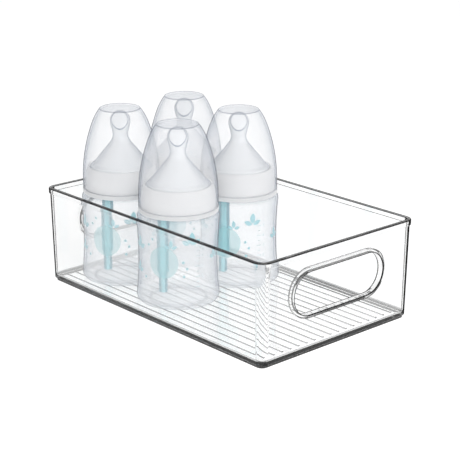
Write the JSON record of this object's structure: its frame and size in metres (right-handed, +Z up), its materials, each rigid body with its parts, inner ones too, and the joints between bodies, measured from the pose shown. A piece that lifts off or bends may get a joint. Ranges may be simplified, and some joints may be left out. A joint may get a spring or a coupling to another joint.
{
  "type": "baby bottle organizer",
  "caption": "Clear open storage bin with a handle slot in each end and a ribbed floor, holding capped baby bottles whose rings unscrew and whose caps pull off.",
  "frame": {"origin": "centre of the bin's footprint, on the surface that it stands on", "axes": "+X along the bin's long side, away from the bottles; +Y across it; +Z up"},
  "size_m": [0.25, 0.1544, 0.1411],
  "materials": {
    "bin_plastic": "clear polished polystyrene",
    "bottle_plastic": "clear polypropylene",
    "cap_plastic": "clear thin polypropylene",
    "ring_plastic": "white satin polypropylene",
    "teat_silicone": "translucent silicone",
    "vent_plastic": "pale teal polypropylene"
  },
  "bodies": {
    "bin": {"bin": "bin_plastic"},
    "left_bottle": {"left_bottle_body": "bottle_plastic"},
    "left_feed": {"left_bottle_teat": "teat_silicone", "left_bottle_vent": "vent_plastic"},
    "left_ring": {"left_bottle_ring": "ring_plastic"},
    "left_cap": {"left_bottle_cap": "cap_plastic"},
    "front_bottle": {"front_bottle_body": "bottle_plastic"},
    "front_feed": {"front_bottle_teat": "teat_silicone", "front_bottle_vent": "vent_plastic"},
    "front_ring": {"front_bottle_ring": "ring_plastic"},
    "front_cap": {"front_bottle_cap": "cap_plastic"},
    "right_bottle": {"right_bottle_body": "bottle_plastic"},
    "right_feed": {"right_bottle_teat": "teat_silicone", "right_bottle_vent": "vent_plastic"},
    "right_ring": {"right_bottle_ring": "ring_plastic"},
    "right_cap": {"right_bottle_cap": "cap_plastic"},
    "back_bottle": {"back_bottle_body": "bottle_plastic"},
    "back_feed": {"back_bottle_teat": "teat_silicone", "back_bottle_vent": "vent_plastic"},
    "back_ring": {"back_bottle_ring": "ring_plastic"},
    "back_cap": {"back_bottle_cap": "cap_plastic"}
  },
  "joints": [
    {"name": "left_bottle_lift", "type": "slide", "parent": "bin", "child": "left_bottle", "axis": [0, 0, 1], "range_m": [0, 0.09]},
    {"name": "left_teat_rise", "type": "slide", "parent": "left_bottle", "child": "left_feed", "axis": [0, 0, 1], "range_m": [0, 0.0063]},
    {"name": "left_ring_turn", "type": "hinge", "parent": "left_feed", "child": "left_ring", "pos_m": [-0.0836, -0.0325, 0.0781], "axis": [0, 0, 1], "range_deg": [0, 450]},
    {"name": "left_cap_pull", "type": "slide", "parent": "left_ring", "child": "left_cap", "axis": [0, 0, 1], "range_m": [0, 0.07]},
    {"name": "front_bottle_lift", "type": "slide", "parent": "bin", "child": "front_bottle", "axis": [0, 0, 1], "range_m": [0, 0.09]},
    {"name": "front_teat_rise", "type": "slide", "parent": "front_bottle", "child": "front_feed", "axis": [0, 0, 1], "range_m": [0, 0.0063]},
    {"name": "front_ring_turn", "type": "hinge", "parent": "front_feed", "child": "front_ring", "pos_m": [-0.0142, -0.0325, 0.0781], "axis": [0, 0, 1], "range_deg": [0, 450]},
    {"name": "front_cap_pull", "type": "slide", "parent": "front_ring", "child": "front_cap", "axis": [0, 0, 1], "range_m": [0, 0.07]},
    {"name": "right_bottle_lift", "type": "slide", "parent": "bin", "child": "right_bottle", "axis": [0, 0, 1], "range_m": [0, 0.09]},
    {"name": "right_teat_rise", "type": "slide", "parent": "right_bottle", "child": "right_feed", "axis": [0, 0, 1], "range_m": [0, 0.0063]},
    {"name": "right_ring_turn", "type": "hinge", "parent": "right_feed", "child": "right_ring", "pos_m": [-0.0186, 0.0325, 0.0781], "axis": [0, 0, 1], "range_deg": [0, 450]},
    {"name": "right_cap_pull", "type": "slide", "parent": "right_ring", "child": "right_cap", "axis": [0, 0, 1], "range_m": [0, 0.07]},
    {"name": "back_bottle_lift", "type": "slide", "parent": "bin", "child": "back_bottle", "axis": [0, 0, 1], "range_m": [0, 0.09]},
    {"name": "back_teat_rise", "type": "slide", "parent": "back_bottle", "child": "back_feed", "axis": [0, 0, 1], "range_m": [0, 0.0063]},
    {"name": "back_ring_turn", "type": "hinge", "parent": "back_feed", "child": "back_ring", "pos_m": [-0.0836, 0.0325, 0.0781], "axis": [0, 0, 1], "range_deg": [0, 450]},
    {"name": "back_cap_pull", "type": "slide", "parent": "back_ring", "child": "back_cap", "axis": [0, 0, 1], "range_m": [0, 0.07]}
  ],
  "couplings": [
    {"joint": "left_teat_rise", "follows": "left_ring_turn", "m_per_rad": 0.00079577},
    {"joint": "front_teat_rise", "follows": "front_ring_turn", "m_per_rad": 0.00079577},
    {"joint": "right_teat_rise", "follows": "right_ring_turn", "m_per_rad": 0.00079577},
    {"joint": "back_teat_rise", "follows": "back_ring_turn", "m_per_rad": 0.00079577}
  ]
}
